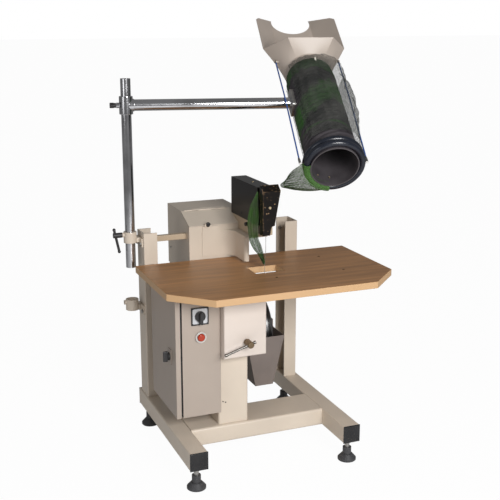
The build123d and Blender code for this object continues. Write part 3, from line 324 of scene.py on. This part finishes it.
cream_paint = painted_metal("cream_paint", (0.66, 0.57, 0.47))
bright_cream = painted_metal("bright_cream_paint", (0.54, 0.46, 0.395), gloss=0.40)
beige_paint = painted_metal("beige_paint", (0.50, 0.39, 0.27), gloss=0.38)
grey_paint = painted_metal("grey_paint", (0.40, 0.335, 0.285), gloss=0.42)
white_paint = painted_metal("white_paint", (0.68, 0.60, 0.54))
bin_paint = painted_metal("bin_paint", (0.23, 0.19, 0.17), gloss=0.5, wear=0.7)
head_black = chipped_paint_with_edge_highlight("head_black_paint", (0.007, 0.005, 0.005), (0.30, 0.24, 0.19))
worn_block_with_edge_highlight = chipped_paint_with_edge_highlight("worn_block_paint_with_edge_highlight", (0.007, 0.005, 0.004), (0.42, 0.27, 0.15), flecked=True)
chrome_plate = bare_metal("chrome_plate", (0.62, 0.62, 0.64), 0.12)
zinc_plate = bare_metal("zinc_plate", (0.50, 0.49, 0.47), 0.38)
machined_steel = bare_metal("machined_steel", (0.48, 0.46, 0.43), 0.32, stretch=(1, 1, 8))
dull_bronze = bare_metal("dull_bronze", (0.22, 0.16, 0.10), 0.42)
dark_steel = bare_metal("dark_steel", (0.16, 0.15, 0.14), 0.30)
brass_plate = bare_metal("brass_plate", (0.62, 0.50, 0.32), 0.34)
bright_wire = bare_metal("bright_wire", (0.72, 0.72, 0.72), 0.25)
black_plastic = moulded_plastic("black_plastic", (0.018, 0.017, 0.018), 0.42)
grey_plastic = moulded_plastic("grey_plastic", (0.30, 0.31, 0.32), 0.5)
silver_plastic = moulded_plastic("silver_plate_plastic", (0.55, 0.56, 0.58), 0.35)
foot_plastic = moulded_plastic("foot_plastic", (0.045, 0.045, 0.048), 0.5)
gloss_rubber = moulded_plastic("gloss_black_rubber", (0.006, 0.008, 0.015), 0.22)
seal_rubber = moulded_plastic("seal_rubber", (0.012, 0.012, 0.013), 0.6)
tube_plastic = moulded_plastic("dark_tube_plastic", (0.052, 0.046, 0.050), 0.45)
gloss_cap = moulded_plastic("gloss_black_cap", (0.012, 0.012, 0.013), 0.15)
lamp_red = moulded_plastic("lamp_red_plastic", (0.36, 0.030, 0.008), 0.15)
pale_plastic = moulded_plastic("pale_plastic", (0.50, 0.48, 0.45), 0.35)
white_yarn = moulded_plastic("white_yarn", (0.58, 0.55, 0.48), 0.8)
blue_braid = moulded_plastic("blue_braid", (0.035, 0.085, 0.27), 0.7)
oak = oak_laminate()
sleeve_net = knitted_net("sleeve_netting", (0.040, 0.034, 0.040), (0.064, 0.056, 0.061), openness=0.0)
open_net = knitted_net("open_netting", (0.040, 0.045, 0.038), (0.085, 0.088, 0.078), openness=0.93,
                       fineness=650.0, thread=(0.01, 0.09))
tail_net = knitted_net("gathered_netting", (0.080, 0.088, 0.070), (0.150, 0.158, 0.130), openness=0.84,
                       fineness=500.0, green=(0.060, 0.170, 0.025))

finish_of_node = {
    cream_paint: ("left_rail", "right_rail", "cross_member", "column", "left_upright", "right_upright",
                  "table_bearer", "housing_shell", "slant_lid", "curved_guard", "upper_ring_clamp",
                  "lower_ring_guide"),
    bright_cream: ("hopper",),
    beige_paint: ("side_bar", "head_nose"),
    grey_paint: ("cabinet_shell", "cabinet_door"),
    white_paint: ("clamp_box",),
    head_black: ("head_cover", "drive_motor"),
    chrome_plate: ("mast", "arm"),
    zinc_plate: ("foot_studs", "frame_bolts", "lamp_holder", "mounting_panel", "chute_saddle",
                 "elastic_hooks"),
    machined_steel: ("gearbox", "crank_disc", "ram_guide", "ram", "push_rod", "trigger_finger"),
    worn_block_with_edge_highlight: ("die_block",),
    dull_bronze: ("clamp_screw",),
    dark_steel: ("tommy_bar",),
    bright_wire: ("wire_coil", "clip_wire"),
    black_plastic: ("latch_wing", "switch_knob", "contactor", "nose_knob", "arm_knob", "wire_reel",
                    "mast_lever"),
    gloss_cap: ("rail_end_caps",),
    bin_paint: ("reel_bin",),
    grey_plastic: ("terminal_strip",),
    silver_plastic: ("main_switch",),
    foot_plastic: ("foot_pads",),
    gloss_rubber: ("brake_rings",),
    seal_rubber: ("door_seal",),
    tube_plastic: ("chute_tube",),
    lamp_red: ("lamp_lens",),
    blue_braid: ("elastic_cords",),
    oak: ("table_top",),
}
for finish, node_names in finish_of_node.items():
    for node_name in node_names:
        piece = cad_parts[node_name]
        piece.data.materials.clear()
        piece.data.materials.append(finish)

# ---- Netting


def between(stops, value):
    """Value read from a list of (place, amount) stops in rising order."""
    for (low, first), (high, last) in zip(stops, stops[1:]):
        if value <= high:
            share = max(0.0, (value - low) / (high - low))
            return first + (last - first) * share
    return stops[-1][1]


def swing(turn):
    """Soft wave between 0 and 1."""
    return 0.5 + 0.5 * sin(turn)


def woven_sheet(name, rows, columns, place, size, closed=False, tint=None):
    """Sheet from a function of (row share, column share), with its knit map in metres and its green tint."""
    spans = columns if closed else columns - 1
    shares = [(i / (rows - 1), j / spans) for i in range(rows) for j in range(columns)]
    faces = []
    for i in range(rows - 1):
        for j in range(spans):
            k = (j + 1) % columns
            faces.append((i * columns + j, i * columns + k, (i + 1) * columns + k, (i + 1) * columns + j))
    mesh = bpy.data.meshes.new(name)
    mesh.from_pydata([place(along, around) for along, around in shares], [], faces)
    greenness = mesh.attributes.new("tint", "FLOAT", "POINT")
    if tint:
        for k, (along, around) in enumerate(shares):
            greenness.data[k].value = tint(along, around)
    knit = mesh.uv_layers.new(name="knit")
    for face in mesh.polygons:
        i, j = divmod(face.index, spans)
        corners = ((i, j), (i, j + 1), (i + 1, j + 1), (i + 1, j))
        for loop, (row, column) in zip(face.loop_indices, corners):
            knit.data[loop].uv = (size[0] * column / columns, size[1] * row / rows)
    piece = bpy.data.objects.new(name, mesh)
    bpy.context.collection.objects.link(piece)
    for face in mesh.polygons:
        face.use_smooth = True
    return piece


def thicken(piece, thickness, offset):
    """Give a sheet its thickness."""
    wall = piece.modifiers.new("wall", "SOLIDIFY")
    wall.thickness = thickness
    wall.offset = offset
    apply_modifiers(piece)


# Sleeve: where it starts and ends along the chute, its gap to the tube, the pitch and height of its rucks and
# of the fine folds on them, and the height of its slack places
sleeve_back = -0.145
sleeve_front = 0.296
sleeve_gap = 0.0018
ruck_pitch = 0.021
ruck_height = 0.0035
fine_pitch = 0.0062
fine_height = 0.0010
slack_height = 0.0025


def sleeve_point(along, around):
    """The netting pushed up on the tube, in slanting rucks."""
    angle = 2 * pi * around
    travel = sleeve_back + (sleeve_front - sleeve_back) * along
    slant = travel + 0.016 * cos(angle - 0.7) + 0.006 * sin(2 * angle)
    loose = noise.noise(Vector((3 * cos(angle), 3 * sin(angle), 22 * travel)))
    fold = swing(2 * pi * slant / ruck_pitch + 2.2 * loose)
    fine = swing(2 * pi * slant / fine_pitch + 3.0 * loose)
    lift = ruck_height * fold + fine_height * fine + slack_height * max(0.0, loose)
    ends = min(1.0, 12 * along, 12 * (1 - along))
    radius = chute_radius + sleeve_gap + lift * ends
    return in_chute(radius * cos(angle), radius * sin(angle), travel)


# Green on the sleeve, along the chute: half the width of its band, its thin ring and its rear end
band_reach = 0.060
ring_place = 0.205
ring_reach = 0.006
rear_green_end = -0.090


def sleeve_tint(along, around):
    """Green of the rucked band that slants round the tube, of a thin ring and of the rear end."""
    angle = 2 * pi * around
    travel = sleeve_back + (sleeve_front - sleeve_back) * along
    ragged = noise.noise(Vector((5 * cos(angle), 5 * sin(angle), 30 * travel)))
    middle = 0.045 + 0.075 * max(0.0, -cos(angle)) - 0.03 * max(0.0, cos(angle))
    band = max(0.0, 1 - (abs(travel - middle) / (band_reach + 0.02 * ragged)) ** 4)
    ring = max(0.0, 1 - abs(travel - ring_place) / ring_reach)
    rear = 0.6 if travel < rear_green_end + 0.03 * ragged else 0.0
    return min(1.0, max(band * (0.95 + 0.4 * ragged), ring, rear))


sleeve = woven_sheet("net_sleeve_knit", rows=240, columns=120, place=sleeve_point, size=(0.53, 0.90),
                     closed=True, tint=sleeve_tint)
thicken(sleeve, 0.0012, -1)
sleeve.data.materials.append(sleeve_net)
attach(sleeve, "chute")
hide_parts("net_sleeve")

# Loose net: its start and length along the chute, how far it goes round in degrees to either side, its radius
# on the left, and its scallops and pleats
loose_back = -0.150
loose_length = 0.412
loose_reach = 148
loose_radius = 0.0930
scallop_pitch = 0.062
scallop_depth = 0.0045
loose_pleats = 17
loose_pleat_depth = 0.0016

# How far it stands off the tube's axis on its right side, along the chute, and what these measures start from
loose_right = [(-0.212, 0.094), (-0.166, 0.107), (-0.124, 0.112), (-0.077, 0.103), (-0.053, 0.108),
               (-0.018, 0.121), (0.010, 0.119), (0.050, 0.114), (0.094, 0.115), (0.147, 0.105),
               (0.205, 0.094), (0.262, 0.0895)]
loose_right_start = 0.0830


def loose_point(along, around):
    """Loose netting that stands off the sleeve in scallops, open at the back where the saddle is."""
    angle = radians(-loose_reach + 2 * loose_reach * around)
    travel = loose_back + loose_length * along
    lean = max(0.0, cos(angle))
    scallop = scallop_depth * abs(sin(pi * travel / scallop_pitch + 0.6))
    radius = loose_radius + (between(loose_right, travel) - loose_right_start + scallop) * lean
    stray = 3 * noise.noise(Vector((4 * around, 0, 9 * travel)))
    pleat = loose_pleat_depth * sin(2 * pi * loose_pleats * around + stray)
    return in_chute((radius + pleat) * cos(angle), (radius + pleat) * sin(angle), travel)


loose_net = woven_sheet("net_loose_knit", rows=100, columns=180, place=loose_point, size=(0.50, 0.45))
thicken(loose_net, 0.0007, 0)
loose_net.data.materials.append(open_net)
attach(loose_net, "chute")

# Section of the net where it comes out of the mouth and turns back over the front ring, by share of the lip:
# its radius and its place along the chute
lip_radius = [(0.0, 0.0760), (0.35, 0.0800), (0.6, 0.0905), (0.8, 0.1010), (1.0, 0.1045)]
lip_travel = [(0.0, 0.3200), (0.35, 0.3390), (0.6, 0.3435), (0.8, 0.3400), (1.0, 0.3290)]

# Tail: the arc of the lip that it leaves, in degrees, the lip's share of its length, its neck at the head,
# and its pleats, bulge and sag
lip_start = 174
lip_sweep = 92
lip_share = 0.25
tail_neck = at_stand(436, 290, 905)
neck_radius = 0.007
tail_pleats = 11
tail_pleat_depth = 0.0045
tail_bulge = 0.024
tail_sag = 0.010


def tail_point(along, around):
    """The net from the mouth, over the lip's lower left side, to its neck at the head."""
    angle = radians(lip_start + lip_sweep * around)
    stray = 2.5 * noise.noise(Vector((6 * around, 2.0 * along, 1)))
    pleat = sin(2 * pi * tail_pleats * around + stray)
    on_way = min(1.0, along / lip_share)
    radius = between(lip_radius, on_way)
    on_lip = in_chute(radius * cos(angle), radius * sin(angle), between(lip_travel, on_way))
    if along <= lip_share:
        return on_lip
    share = (along - lip_share) / (1 - lip_share)
    turn = 2 * pi * around
    gather = neck_radius * Vector((cos(turn), 0.4 * sin(turn), sin(turn)))
    point = on_lip.lerp(tail_neck + gather, share ** 0.72)
    swell = sin(pi * share ** 0.8) * (1 - 0.35 * share)
    bulge = tail_bulge * (1 - around) * swell * (0.8 * off_chute - 0.6 * across)
    sag = Vector((0, 0, -tail_sag * swell))
    return point + bulge + sag + tail_pleat_depth * pleat * swell * off_chute


def tail_tint(along, around):
    """Green on the lip and in strands that close up towards the neck."""
    if along < lip_share + 0.02:
        return 0.9
    strand = swing(2 * pi * tail_pleats * around + 1.2)
    return min(1.0, 0.20 + 1.6 * strand * along)


tail = woven_sheet("net_tail_knit", rows=90, columns=220, place=tail_point, size=(0.34, 0.22), tint=tail_tint)
thicken(tail, 0.0008, 0)
tail.data.materials.append(tail_net)
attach(tail, "chute")
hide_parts("net_tail")

# Net beside the head, in millimetres from the stand's corner: its top, its drop to the table's slot, its
# place behind the stand's front, the depth of its waves, and its left and right edge by height
hang_top = 889
hang_drop = 253
hang_depth = 296
hang_wave = 4.5
hang_left = [(636, 370.5), (655, 361), (675, 349), (690, 336), (704, 328), (725, 319), (742, 317.5),
             (774, 313), (808, 316), (841, 323), (870, 337), (889, 347)]
hang_right = [(636, 375.5), (655, 374), (675, 370), (690, 366), (704, 362), (725, 352), (742, 350.5),
              (889, 350.5)]


def hang_point(along, around):
    """The net from the throat down the head's left side to the table's slot."""
    height = hang_top - hang_drop * along
    left = between(hang_left, height)
    right = between(hang_right, height)
    wave = sin(2 * pi * 5 * around + 3 * noise.noise(Vector((3 * around, 4 * along, 5))))
    depth = hang_depth + min(1.0, 6 * along) * hang_wave * wave
    return at_stand(left + (right - left) * around, depth, height)


def hang_tint(along, around):
    """Green in the patch at the left and just below the nose."""
    cloud = noise.noise(Vector((4 * around, 9 * along, 2)))
    patch = 0.9 if 0.22 < along < 0.42 and around < 0.45 else 0.65
    low = 0.9 if 0.60 < along < 0.74 and around < 0.6 else 0.0
    return min(1.0, max(0.0, max(patch, low) + 0.6 * cloud))


hang = woven_sheet("net_hang_knit", rows=130, columns=90, place=hang_point, size=(0.12, 0.26), tint=hang_tint)
thicken(hang, 0.0007, 0)
hang.data.materials.append(tail_net)
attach(hang, "stand")
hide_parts("net_hang")

# ---- Screws, rivets, knobs and frames


def select_facing(piece, direction):
    """In edit mode, select only the flat face that looks a given way."""
    bpy.ops.mesh.select_mode(type="FACE")
    bpy.ops.mesh.select_all(action="DESELECT")
    shape = bmesh.from_edit_mesh(piece.data)
    shape.normal_update()
    for face in shape.faces:
        face.select = face.normal.dot(direction) > 0.9
    bmesh.update_edit_mesh(piece.data)


def finish_piece(piece, name, finish, body, rounding):
    """Round a small piece's edges, name it, paint it and hang it on its body."""
    edges = piece.modifiers.new("edges", "BEVEL")
    edges.width = rounding
    edges.segments = 3
    edges.limit_method = "ANGLE"
    apply_modifiers(piece)
    bpy.ops.object.shade_smooth_by_angle(angle=radians(35))
    piece.name = name
    piece.data.name = name
    piece.data.materials.append(finish)
    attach(piece, body)
    return piece


def dished_head(name, place, direction, radius, height, finish, body, dish=0.35, rim=0.28):
    """Round head on a surface, its foot a little sunk in, with a rim and a shallow dish."""
    direction = Vector(direction).normalized()
    bpy.ops.object.select_all(action="DESELECT")
    bpy.ops.mesh.primitive_cylinder_add(vertices=32, radius=radius, depth=height,
                                        location=place + direction * height * 0.45,
                                        rotation=direction.to_track_quat("Z", "Y").to_euler())
    head = bpy.context.object
    apply_place(head)
    bpy.ops.object.mode_set(mode="EDIT")
    select_facing(head, direction)
    bpy.ops.mesh.inset(thickness=rim * radius)
    bpy.ops.mesh.extrude_region_move(TRANSFORM_OT_translate={"value": tuple(-direction * height * dish)})
    bpy.ops.object.mode_set(mode="OBJECT")
    return finish_piece(head, name, finish, body, rounding=0.12 * height)


def copy_of(piece, name, move, body):
    """The same piece again with a mesh of its own, at another place."""
    again = piece.copy()
    again.data = piece.data.copy()
    again.data.transform(Matrix.Translation(move))
    again.name = name
    again.data.name = name
    bpy.context.collection.objects.link(again)
    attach(again, body)
    return again


table_screws = (at_stand(364, 167, 624), at_stand(613, 173, 624), at_stand(613, 363, 624))
first_screw = dished_head("table_screw_1", table_screws[0], (0, 0, 1), radius=0.0042, height=0.0012,
                          finish=dull_bronze, body="stand")
for number, spot in enumerate(table_screws[1:], 2):
    copy_of(first_screw, "table_screw_%d" % number, spot - table_screws[0], "stand")
dished_head("block_screw", at_stand(376.9, 256, 838.5), (0, -1, 0), radius=0.0045, height=0.0022,
            finish=brass_plate, body="stand")
dished_head("head_top_screw", at_stand(380.4, 415, 901), (0, 0, 1), radius=0.0040, height=0.0020,
            finish=brass_plate, body="stand")
dished_head("head_side_pin", at_stand(352, 451, 787), (-1, 0, 0), radius=0.0028, height=0.0016,
            finish=black_plastic, body="stand")
dished_head("housing_side_screw", at_stand(169, 703, 622.6), (-1, 0, 0), radius=0.0045, height=0.0022,
            finish=zinc_plate, body="stand")
upper_screw = dished_head("column_screw_1", at_stand(175, 173, 214), (0, -1, 0), radius=0.0022, height=0.0014,
                          finish=black_plastic, body="stand")
copy_of(upper_screw, "column_screw_2", Vector((0.009, 0, -0.004)), "stand")
dished_head("mouth_rivet_1", at_stand(507.6, 168.3, 954.9), (0.44, -0.56, 0.70), radius=0.0035,
            height=0.0018, finish=brass_plate, body="chute")
dished_head("mouth_rivet_2", at_stand(548.5, 164.9, 944.6), (-0.12, -0.51, 0.85), radius=0.0035,
            height=0.0018, finish=brass_plate, body="chute")
dished_head("lamp_bezel", at_stand(90, 144, 460.5), (0, -1, 0), radius=0.0185, height=0.0060,
            finish=pale_plastic, body="stand", dish=0.6, rim=0.24)


def square_frame(name, place, side, depth, rim, finish, body):
    """Square frame facing the front, with a sunk middle."""
    bpy.ops.object.select_all(action="DESELECT")
    bpy.ops.mesh.primitive_cube_add(size=1, location=place, scale=(side, depth, side))
    plate = bpy.context.object
    apply_place(plate)
    bpy.ops.object.mode_set(mode="EDIT")
    select_facing(plate, Vector((0, -1, 0)))
    bpy.ops.mesh.inset(thickness=rim)
    bpy.ops.mesh.extrude_region_move(TRANSFORM_OT_translate={"value": (0, depth * 0.6, 0)})
    bpy.ops.object.mode_set(mode="OBJECT")
    return finish_piece(plate, name, finish, body, rounding=0.0008)


square_frame("switch_frame", at_stand(88, 143.5, 531), side=0.0580, depth=0.0060, rim=0.0038,
             finish=black_plastic, body="stand")


def cord_knot(name, place, finish):
    """Small overhand knot: a fat loop pulled long."""
    bpy.ops.object.select_all(action="DESELECT")
    bpy.ops.mesh.primitive_torus_add(location=place, rotation=(0.9, 0.4, 0.3), major_segments=24,
                                     minor_segments=12, major_radius=0.0034, minor_radius=0.0026)
    knot = bpy.context.object
    apply_place(knot)
    bpy.ops.object.mode_set(mode="EDIT")
    bpy.ops.mesh.select_all(action="SELECT")
    bpy.ops.transform.resize(value=(0.85, 1.15, 1.45), center_override=tuple(place))
    bpy.ops.object.mode_set(mode="OBJECT")
    smooth = knot.modifiers.new("smooth", "SUBSURF")
    smooth.levels = smooth.render_levels = 1
    apply_modifiers(knot)
    bpy.ops.object.shade_smooth()
    knot.name = name
    knot.data.name = name
    knot.data.materials.append(finish)
    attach(knot, "chute")
    return knot


# Knots at the ends of both elastics
knot_places = (at_stand(432.0, 150.5, 1010.5), at_stand(646.4, 99.0, 1010.5),
               at_stand(526.2, 558.5, 1296.5), at_stand(747.9, 505.0, 1296.5))
first_knot = cord_knot("cord_knot_1", knot_places[0], black_plastic)
for number, spot in enumerate(knot_places[1:], 2):
    copy_of(first_knot, "cord_knot_%d" % number, spot - knot_places[0], "chute")

# White yarn that ties the sleeve's rear end, and the small knob on the lid's lower edge
cord_knot("sleeve_tie", in_chute(0.006, 0.0950, -0.122), white_yarn)
dished_head("lid_knob", at_stand(236, 479, 746.5), (0, -0.80, 0.60), radius=0.0075, height=0.0090,
            finish=black_plastic, body="lid")

# ---- Stage: floor, light and camera

bpy.ops.object.select_all(action="DESELECT")
bpy.ops.mesh.primitive_plane_add(size=floor_size, location=(0, 0, 0))
floor = bpy.context.object
floor.name = "floor"
floor_paper, paper_tree, paper_shader = start_material("floor_paper", (0.85, 0.85, 0.85), 0.9)
seen = paper_tree.nodes.new("ShaderNodeLightPath")
glow = paper_tree.nodes.new("ShaderNodeEmission")
paper_mix = paper_tree.nodes.new("ShaderNodeMixShader")
glow_share = worked_out(paper_tree, "MULTIPLY", seen.outputs["Is Camera Ray"], floor_whiteness)
paper_tree.links.new(glow_share, paper_mix.inputs["Fac"])
paper_tree.links.new(paper_shader.outputs["BSDF"], paper_mix.inputs[1])
paper_tree.links.new(glow.outputs["Emission"], paper_mix.inputs[2])
paper_tree.links.new(paper_mix.outputs["Shader"], paper_tree.nodes["Material Output"].inputs["Surface"])
floor.data.materials.append(floor_paper)

# World: white for the camera and for transmitted rays, dimmer as light on the object
scene = bpy.context.scene
scene.view_settings.view_transform = "Standard"
world = bpy.data.worlds.new("studio")
scene.world = world
world.use_nodes = True
sky = world.node_tree
backdrop = sky.nodes["Background"]
backdrop.inputs["Color"].default_value = (1, 1, 1, 1)
rays = sky.nodes.new("ShaderNodeLightPath")
in_view = worked_out(sky, "MAXIMUM", rays.outputs["Is Camera Ray"], rays.outputs["Is Transmission Ray"])
sky.links.new(rescaled(sky, in_view, new=(studio_level, 1.0)), backdrop.inputs["Strength"])


def soft_lamp(name, place, size, power):
    """Square studio lamp aimed at the machine's middle."""
    light = bpy.data.lights.new(name, "AREA")
    light.size = size
    light.energy = power
    lamp = bpy.data.objects.new(name, light)
    lamp.location = place
    aim = Vector(lamp_target) - Vector(place)
    lamp.rotation_euler = aim.to_track_quat("-Z", "Y").to_euler()
    bpy.context.collection.objects.link(lamp)


soft_lamp("key_lamp", place=(0.1, -3.6, 1.9), size=1.3, power=118)
soft_lamp("side_lamp", place=(-3.2, -1.6, 1.6), size=1.6, power=14)

camera = bpy.data.cameras.new("camera")
camera.lens = camera_lens
camera.sensor_width = 36
viewer = bpy.data.objects.new("camera", camera)
viewer.location = (stand_x + camera_place[0], stand_y + camera_place[1], camera_place[2])
viewer.rotation_euler = (pi / 2 - camera_pitch, 0, -camera_yaw)
bpy.context.collection.objects.link(viewer)
scene.camera = viewer
